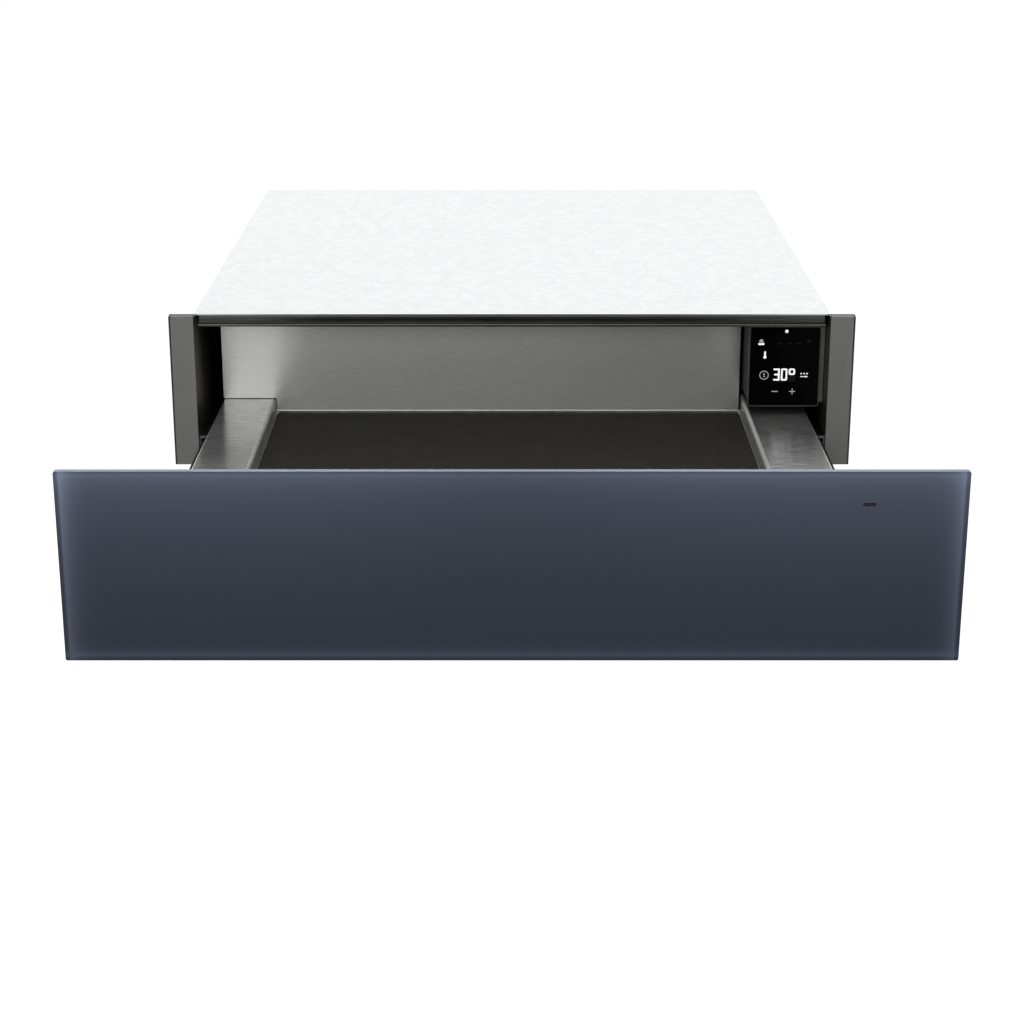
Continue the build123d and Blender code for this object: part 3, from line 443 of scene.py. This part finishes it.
lit_grey = lit_finish("lit_grey", strength=0.36)
power_x, power_z = -17.1, -9.3
wedge_half = 0.9
wedge_near = 0.5
wedge_far = 2.2
key_row = -24.0
plus_x = 7.6
plus_arm = 2.7
plus_half = 0.35
plus_outline = [
    (plus_x - plus_half, key_row - plus_arm), (plus_x + plus_half, key_row - plus_arm),
    (plus_x + plus_half, key_row - plus_half), (plus_x + plus_arm, key_row - plus_half),
    (plus_x + plus_arm, key_row + plus_half), (plus_x + plus_half, key_row + plus_half),
    (plus_x + plus_half, key_row + plus_arm), (plus_x - plus_half, key_row + plus_arm),
    (plus_x - plus_half, key_row + plus_half), (plus_x - plus_arm, key_row + plus_half),
    (plus_x - plus_arm, key_row - plus_half), (plus_x - plus_half, key_row - plus_half)]
cover_dome = [(-22.4, 20.0), (-18.4, 20.0), (-18.8, 21.8), (-19.6, 22.8), (-21.2, 22.8), (-22.0, 21.8)]
keys = bmesh.new()
power_key = disc_mark(keys, power_x, power_z, radius=4.0)
hollow_mark(keys, power_key, stroke=0.65)
for way in (-1, 1):
    wedge = [(power_x - wedge_half, power_z + way * wedge_near),
             (power_x + wedge_half, power_z + way * wedge_near), (power_x, power_z + way * wedge_far)]
    outline_mark(keys, wedge, corner=0.2)
bar_mark(keys, x=-7.5, z=key_row, width=5.4, height=0.8, corner=0.3)
outline_mark(keys, plus_outline, corner=0.15)
outline_mark(keys, cover_dome, corner=0.6)
finish_marks(keys, "touch_keys", lit_grey)

unlit_print = lit_finish("unlit_print", strength=0.006)
resting_signs = (-4.6, 3.6, 11.6)
resting = bmesh.new()
for sign_x in resting_signs:
    bar_mark(resting, sign_x, z=19.0, width=4.4, height=1.2, corner=0.4)
disc_mark(resting, x=20.2, z=21.0, radius=1.6)
bar_mark(resting, x=6.8, z=-12.6, width=5.6, height=5.0, corner=0.6)
finish_marks(resting, "unlit_signs", unlit_print)


# Drawer basin
# Two folded ledges, a floor and a back wall of stainless steel, brushed across the drawer.
# The sheet is brushed before it is folded, so the strokes run on over the bends of the ledges.
def brushed_finish(name, first, second, smooth, rough, stroke_counts):
    """Stainless steel with fine brush strokes, counted per metre along each axis."""
    material, shader = new_finish(name, first, metallic=1.0, roughness=rough)
    shader.inputs["Anisotropic"].default_value = 0.8
    across = add_node(shader, "ShaderNodeCombineXYZ", x=0.0, y=stroke_counts[1], z=stroke_counts[2])
    shader.id_data.links.new(across.outputs["Vector"], shader.inputs["Tangent"])
    strokes = cloudy(shader, scale=1.0, stretch=stroke_counts, detail=4.0, roughness=0.6)
    two_tone(shader, strokes, first, second)
    rough_by(shader, strokes, smooth, rough)
    return material


ledge_steel = brushed_finish("ledge_steel", tone(188, 188, 187), tone(237, 237, 236), smooth=0.245,
                             rough=0.27, stroke_counts=(54, 650, 54))
ledge_shader = shader_of(ledge_steel)
basin_low, basin_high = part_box("drawer_base")
basin_middle = (basin_low + basin_high) / 2
# Painted highlight: the inward step faces are less metallic, so they show lighter.
dull(ledge_shader, inward_faces(ledge_shader, basin_middle), metallic=0.5)
dress(ledge_steel, "left_side_profile", "right_side_profile")

wall_steel = brushed_finish("wall_steel", tone(158, 158, 157), tone(173, 173, 172), smooth=0.37,
                            rough=0.43, stroke_counts=(92, 1100, 1100))
dress(wall_steel, "back_wall", "front_liner")

floor_steel = mottled_finish("floor_steel", tone(202, 202, 201), tone(210, 210, 209), metallic=1.0,
                             smooth=0.32, rough=0.38, scale=120.0)
dress(floor_steel, "drawer_base")

carrier_steel = mottled_finish("carrier_steel", tone(140, 142, 146), tone(162, 164, 166), metallic=1.0,
                               smooth=0.34, rough=0.5, scale=120.0)
dress(carrier_steel, "front_carrier", "left_front_bracket", "right_front_bracket")


# Anti-slip mat
# A loose mat of dark rubber on the drawer's floor, moulded with a fine pebbled surface.
# The rubber hardly shines, and its tone is a little uneven.
mat_rubber, mat_shader = new_finish("mat_rubber", tone(34, 33, 29), metallic=0.0, roughness=0.75)
mat_shader.inputs["Specular IOR Level"].default_value = 0.25
mat_cloud = cloudy(mat_shader, scale=60.0, detail=4.0)
two_tone(mat_shader, mat_cloud, tone(33, 32, 28), tone(40, 39, 35))
mat_pebbles = add_node(mat_shader, "ShaderNodeTexVoronoi", {"Vector": place_on(mat_shader)}, scale=900.0)
bumped(mat_shader, mat_pebbles.outputs["Distance"], depth=0.0002, strength=0.4)
dress(mat_rubber, "anti_slip_mat")


# Front panel
# Satin glass, painted blue-grey on its back and bonded with a foam frame to a steel carrier.
# The paint is lighter along the edges: a painted glow for light that comes in through the ground rim.
front_low, front_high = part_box("front_glass")
front_paint_glass, front_shader = new_finish("front_paint_glass", tone(62, 68, 82), metallic=0.0,
                                             roughness=0.45)
front_shader.inputs["Specular IOR Level"].default_value = 0.12
front_shader.inputs["Specular Tint"].default_value = tone(150, 165, 195)
front_coordinates = add_node(front_shader, "ShaderNodeTexCoord")
front_place = add_node(front_shader, "ShaderNodeSeparateXYZ",
                       {"Vector": front_coordinates.outputs["Object"]})
front_facing = add_node(front_shader, "ShaderNodeSeparateXYZ",
                        {"Vector": front_coordinates.outputs["Normal"]})


def figure(operation, first, second=0, use_clamp=False):
    """One step of arithmetic in the front's shader, on values that are each a number or a socket."""
    step = add_node(front_shader, "ShaderNodeMath", operation=operation, use_clamp=use_clamp)
    for socket, value in zip(step.inputs, (first, second)):
        if isinstance(value, (int, float)):
            socket.default_value = value
        else:
            front_shader.id_data.links.new(value, socket)
    return step.outputs["Value"]


def rim_glow(axis, rim, inwards, start, peak, reach, level):
    """A painted glow from one rim: it rises to a peak a little inside, then fades."""
    depth = figure("MULTIPLY", figure("SUBTRACT", front_place.outputs[axis], rim), inwards)
    rise = add_node(front_shader, "ShaderNodeMapRange", {"Value": depth}, interpolation_type="SMOOTHSTEP",
                    from_min=start, from_max=peak, to_min=0.0, to_max=level)
    fade = figure("EXPONENT", figure("DIVIDE", figure("SUBTRACT", peak, depth), reach), use_clamp=True)
    return figure("MULTIPLY", rise.outputs["Result"], fade)


left_glow = rim_glow("X", front_low.x, inwards=1, start=0.0018, peak=0.004, reach=0.0056, level=0.95)
right_glow = rim_glow("X", front_high.x, inwards=-1, start=0.0018, peak=0.004, reach=0.0056, level=0.8)
low_glow = rim_glow("Z", front_low.z, inwards=1, start=0.0012, peak=0.0042, reach=0.0028, level=0.65)
top_glow = rim_glow("Z", front_high.z, inwards=-1, start=0.0008, peak=0.0024, reach=0.005, level=0.25)
side_glow = figure("ADD", left_glow, right_glow)
end_glow = figure("ADD", low_glow, top_glow)
all_glow = figure("ADD", side_glow, end_glow, use_clamp=True)
# Painted glow: the paint turns lighter towards the four rims.
two_tone(front_shader, all_glow, tone(53, 57, 67), tone(83, 89, 105), start=0.0, end=1.0)

# Painted shade: the chamfers round the glass are dark.
edge_slope = -math.sqrt(0.5)
edge_margin = 0.2
painted_chamfer_shade = add_node(front_shader, "ShaderNodeMath", {0: front_facing.outputs["Y"]}, operation="COMPARE")
painted_chamfer_shade.inputs[1].default_value = edge_slope
painted_chamfer_shade.inputs[2].default_value = edge_margin
recolour(front_shader, painted_chamfer_shade.outputs["Value"], tone(12, 14, 19))
# Painted highlight: the glass's top face is lighter.
nearly_up = 0.9
painted_top_light = figure("GREATER_THAN", front_facing.outputs["Z"], nearly_up)
recolour(front_shader, painted_top_light, tone(92, 99, 110))
rough_by(front_shader, cloudy(front_shader, scale=1400.0), smooth=0.4, rough=0.52)
fine_grain(front_shader, scale=2400.0, depth=0.00002, strength=0.15)
dress(front_paint_glass, "front_glass")

bond_foam, bond_shader = new_finish("bond_foam", tone(38, 38, 38), metallic=0.0, roughness=0.9)
bond_cells = cloudy(bond_shader, scale=800.0)
two_tone(bond_shader, bond_cells, tone(30, 30, 30), tone(46, 46, 46))
bumped(bond_shader, bond_cells, depth=0.0002, strength=0.4)
dress(bond_foam, "bonding_frame")

window_plastic = mottled_finish("window_plastic", tone(19, 20, 23), tone(26, 27, 30), metallic=0.0,
                                smooth=0.2, rough=0.32, scale=500.0)
shader_of(window_plastic).inputs["Specular IOR Level"].default_value = 0.2
dress(window_plastic, "light_guide")


# Screws
# Plated pan-head screws with a star recess hold the casing's rear folds and the front brackets.
# They are cold headed from steel wire, so the head is domed and its rim is round.
screw_steel = mottled_finish("screw_steel", tone(158, 160, 162), tone(184, 185, 186), metallic=1.0,
                             smooth=0.24, rough=0.38, scale=500.0)
head_sides = 24
head_radius = 0.0038
head_height = 0.002
head_round = 0.0009
round_steps = 3
recess_radius = 0.0019
recess_depth = 0.0013
recess_taper = 0.0001
lobe_shares = (1.0, 0.92, 0.72, 0.92)
shank_share = 0.53
shank_length = 0.008
point_share = 0.5
point_length = 0.001
outer_column = 0.92
inner_column = 0.4


def draw_screw():
    """One screw along +Z with the underside of its head at the origin."""
    form = bmesh.new()
    bmesh.ops.create_circle(form, cap_ends=True, segments=head_sides, radius=head_radius,
                            matrix=Matrix.Translation((0, 0, head_height)))
    top = form.faces[:][0]
    rim = form.edges[:]
    bmesh.ops.inset_region(form, faces=[top], thickness=head_radius - recess_radius, use_even_offset=True,
                           use_boundary=True)
    for number, corner in enumerate(top.verts):
        share = lobe_shares[number % len(lobe_shares)]
        corner.co.x *= share
        corner.co.y *= share
    bmesh.ops.inset_region(form, faces=[top], thickness=recess_taper, depth=-recess_depth,
                           use_even_offset=True, use_boundary=True)
    ring = rim
    for drop, share in ((head_height, 1), (0, shank_share), (shank_length, 1), (point_length, point_share)):
        grown = bmesh.ops.extrude_edge_only(form, edges=ring)["geom"]
        ring = [item for item in grown if isinstance(item, bmesh.types.BMEdge)]
        corners = [item for item in grown if isinstance(item, bmesh.types.BMVert)]
        bmesh.ops.translate(form, verts=corners, vec=(0, 0, -drop))
        bmesh.ops.scale(form, verts=corners, vec=(share, share, 1))
    bmesh.ops.edgeloop_fill(form, edges=ring)
    bmesh.ops.bevel(form, geom=rim, offset=head_round, segments=round_steps, profile=0.5, affect="EDGES",
                    material=-1)
    bmesh.ops.recalc_face_normals(form, faces=form.faces[:])
    shape = bpy.data.meshes.new("screw_shape")
    form.to_mesh(shape)
    form.free()
    return shape


def set_screws(name, node, body, places):
    """Screws with their heads towards +Y, in place of a CAD node."""
    shape = draw_screw()
    turn = Matrix.Rotation(-math.pi / 2, 4, "X")
    form = bmesh.new()
    for place in places:
        first = len(form.verts)
        form.from_mesh(shape)
        bmesh.ops.transform(form, matrix=Matrix.Translation(place) @ turn, verts=form.verts[:][first:])
    bpy.data.meshes.remove(shape)
    piece = make_object(name, form, screw_steel)
    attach(piece, body)
    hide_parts(node)


def screw_rows(node, column_shares):
    """Two rows of screws across a node's box, at shares of its half width."""
    low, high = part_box(node)
    reach = high.x - head_radius
    rows = (low.z + head_radius, high.z - head_radius)
    return [Vector((reach * share, high.y - head_height, row)) for row in rows for share in column_shares]


inner_share = inner_column / outer_column
set_screws("rear_screws", "casing_screws", "casing",
           screw_rows("casing_screws", (-1, -inner_share, inner_share, 1)))
set_screws("bracket_screws", "front_screws", "drawer", screw_rows("front_screws", (-1, 1)))


# Studio
# A white floor with a faint shadow, white surroundings, and soft lamps that leave the pale top panel out.
# Two strips light only the front glass, and the left ledge mirrors a dark flag high over the casing.
def seen_straight(node):
    """1 for rays from the camera, from a mirror or through glass, and 0 for soft light."""
    rays = add_node(node, "ShaderNodeLightPath").outputs
    mirrored = add_node(node, "ShaderNodeMath", {0: rays["Is Camera Ray"], 1: rays["Is Glossy Ray"]},
                        operation="MAXIMUM")
    straight = add_node(node, "ShaderNodeMath",
                        {0: mirrored.outputs["Value"], 1: rays["Is Transmission Ray"]}, operation="MAXIMUM")
    return straight.outputs["Value"]


floor_half = 30.0
floor_white = bpy.data.materials.new("floor_white")
floor_white.use_nodes = True
floor_tree = floor_white.node_tree
floor_tree.nodes.clear()
floor_out = floor_tree.nodes.new("ShaderNodeOutputMaterial")
floor_soft = add_node(floor_out, "ShaderNodeBsdfDiffuse", color=tone(170, 170, 170))
floor_shade = add_node(floor_out, "ShaderNodeBsdfDiffuse", color=(0.5, 0.5, 0.5, 1))
floor_glow = add_node(floor_out, "ShaderNodeEmission", strength=0.87)
floor_seen = add_node(floor_out, "ShaderNodeAddShader",
                      {0: floor_shade.outputs["BSDF"], 1: floor_glow.outputs["Emission"]})
floor_mix = add_node(floor_out, "ShaderNodeMixShader",
                     {"Fac": seen_straight(floor_out), 1: floor_soft.outputs["BSDF"],
                      2: floor_seen.outputs["Shader"]})
floor_tree.links.new(floor_mix.outputs["Shader"], floor_out.inputs["Surface"])
floor_form = bmesh.new()
bmesh.ops.create_grid(floor_form, x_segments=1, y_segments=1, size=floor_half)
floor = make_object("floor", floor_form, floor_white)

scene = bpy.context.scene
scene.view_settings.view_transform = "Standard"
world = bpy.data.worlds.new("studio")
scene.world = world
world.use_nodes = True
surroundings = world.node_tree.nodes["Background"]
surroundings.inputs["Color"].default_value = (1, 1, 1, 1)
world_level = add_node(surroundings, "ShaderNodeMapRange", {"Value": seen_straight(surroundings)},
                       to_min=0.25, to_max=1.0)
world.node_tree.links.new(world_level.outputs["Result"], surroundings.inputs["Strength"])


def add_lamp(name, place, target, width, height, power):
    """A soft rectangular lamp that the camera doesn't see."""
    data = bpy.data.lights.new(name, "AREA")
    data.shape = "RECTANGLE"
    data.size = width
    data.size_y = height
    data.energy = power
    lamp = bpy.data.objects.new(name, data)
    lamp.location = place
    lamp.rotation_euler = (Vector(target) - Vector(place)).to_track_quat("-Z", "Y").to_euler()
    lamp.visible_camera = False
    bpy.context.collection.objects.link(lamp)
    return lamp


overhead = add_lamp("overhead", place=(-0.1, -0.85, 1.15), target=(0, -0.4, 0), width=1.2, height=0.6,
                    power=6)
front_fill = add_lamp("front_fill", place=(-0.5, -2.8, 0.9), target=(0, -0.4, 0.07), width=1.8, height=1.4,
                      power=17)
back_light = add_lamp("back_light", place=(0.45, 0.5, 0.95), target=(0.2, -0.3, 0), width=1.0, height=0.8,
                      power=1.4)
lamp_reach = bpy.data.collections.new("lamp_reach")
lamp_reach.objects.link(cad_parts["top_panel"])
lamp_reach.collection_objects[0].light_linking.link_state = "EXCLUDE"
for lamp in (overhead, front_fill, back_light):
    lamp.light_linking.receiver_collection = lamp_reach

strip_height = 0.235
strip_gap = 0.07
strip_middle = 0.24
strip_reach = bpy.data.collections.new("strip_reach")
strip_reach.objects.link(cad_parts["front_glass"])
for side, strip_x in (("left", -strip_middle), ("right", strip_middle)):
    strip = add_lamp("front_strip_" + side, place=(strip_x, front_low.y - strip_gap, strip_height),
                     target=(strip_x, front_low.y, strip_height), width=0.42, height=0.03, power=1.5)
    strip.visible_glossy = False
    strip.light_linking.receiver_collection = strip_reach

flag_place = Matrix.Translation((-0.41, 0.3, 1.25))
flag_size = Matrix.Diagonal((0.21, 1, 0.5, 1))
flag_turn = Matrix.Rotation(math.pi / 2, 4, "X")
flag_cloth = new_finish("flag_cloth", tone(4, 4, 4), metallic=0.0, roughness=1.0)[0]
flag_form = bmesh.new()
bmesh.ops.create_grid(flag_form, x_segments=1, y_segments=1, size=1,
                      matrix=flag_place @ flag_size @ flag_turn)
flag = make_object("dark_flag", flag_form, flag_cloth)
flag.visible_camera = False
flag.visible_shadow = False

eye_height = 0.5651
eye_distance = 1.1445
pitch = math.radians(15.91)
camera_data = bpy.data.cameras.new("camera")
camera_data.lens = 65.99
camera_data.sensor_width = 36.0
camera_data.shift_y = -0.19
camera = bpy.data.objects.new("camera", camera_data)
camera.location = (0, front_low.y - eye_distance, eye_height)
camera.rotation_euler = (math.pi / 2 - pitch, 0, 0)
bpy.context.collection.objects.link(camera)
scene.camera = camera
